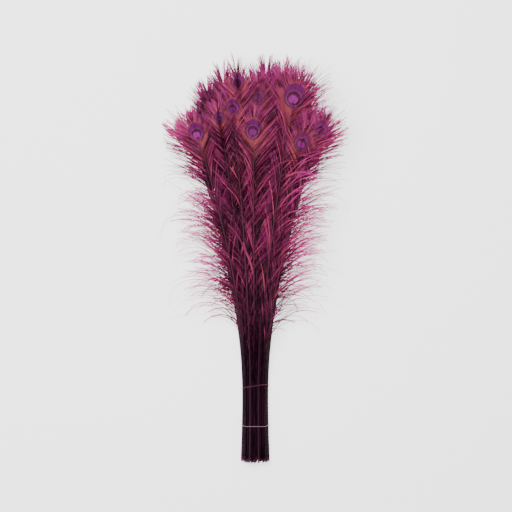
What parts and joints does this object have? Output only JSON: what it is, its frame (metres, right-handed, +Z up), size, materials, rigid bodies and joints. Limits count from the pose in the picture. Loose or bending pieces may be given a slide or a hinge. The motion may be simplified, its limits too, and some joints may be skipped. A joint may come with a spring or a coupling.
{
  "type": "bundle of eyed tail feathers",
  "caption": "Tied bundle of long dyed eyed tail feathers with bare quills, loose drooping barbs and a round eye near each tip, lying flat.",
  "frame": {"origin": "on the table, under the middle of the bundle", "axes": "+Y along the quills towards the eyes, +Z up from the table, +X to the right seen from above with the eyes away from the viewer"},
  "size_m": [0.3972, 0.9078, 0.1265],
  "materials": {
    "feather": "dyed keratin, silky sheen",
    "thread": "matte cotton"
  },
  "bodies": {
    "root": {"feather_01": "feather", "feather_02": "feather", "feather_03": "feather", "feather_04": "feather", "feather_05": "feather", "feather_06": "feather", "feather_07": "feather", "feather_08": "feather", "feather_09": "feather", "feather_10": "feather", "feather_11": "feather", "feather_12": "feather", "feather_13": "feather", "feather_14": "feather", "feather_15": "feather", "feather_16": "feather", "feather_17": "feather", "feather_18": "feather", "feather_19": "feather", "feather_20": "feather", "feather_21": "feather", "feather_22": "feather", "feather_23": "feather", "feather_24": "feather", "feather_25": "feather", "feather_26": "feather", "feather_27": "feather", "feather_28": "feather", "feather_29": "feather", "feather_30": "feather", "feather_31": "feather", "feather_32": "feather", "feather_33": "feather", "feather_34": "feather", "feather_35": "feather", "feather_36": "feather", "feather_37": "feather", "feather_38": "feather", "feather_39": "feather", "feather_40": "feather", "feather_41": "feather", "feather_42": "feather", "feather_43": "feather", "feather_44": "feather", "feather_45": "feather", "feather_46": "feather", "feather_47": "feather", "feather_48": "feather", "feather_49": "feather", "feather_50": "feather", "feather_51": "feather", "feather_52": "feather", "feather_53": "feather", "feather_54": "feather", "feather_55": "feather", "feather_56": "feather", "feather_57": "feather", "feather_58": "feather", "lower_tie": "thread", "upper_tie": "thread"}
  },
  "joints": []
}
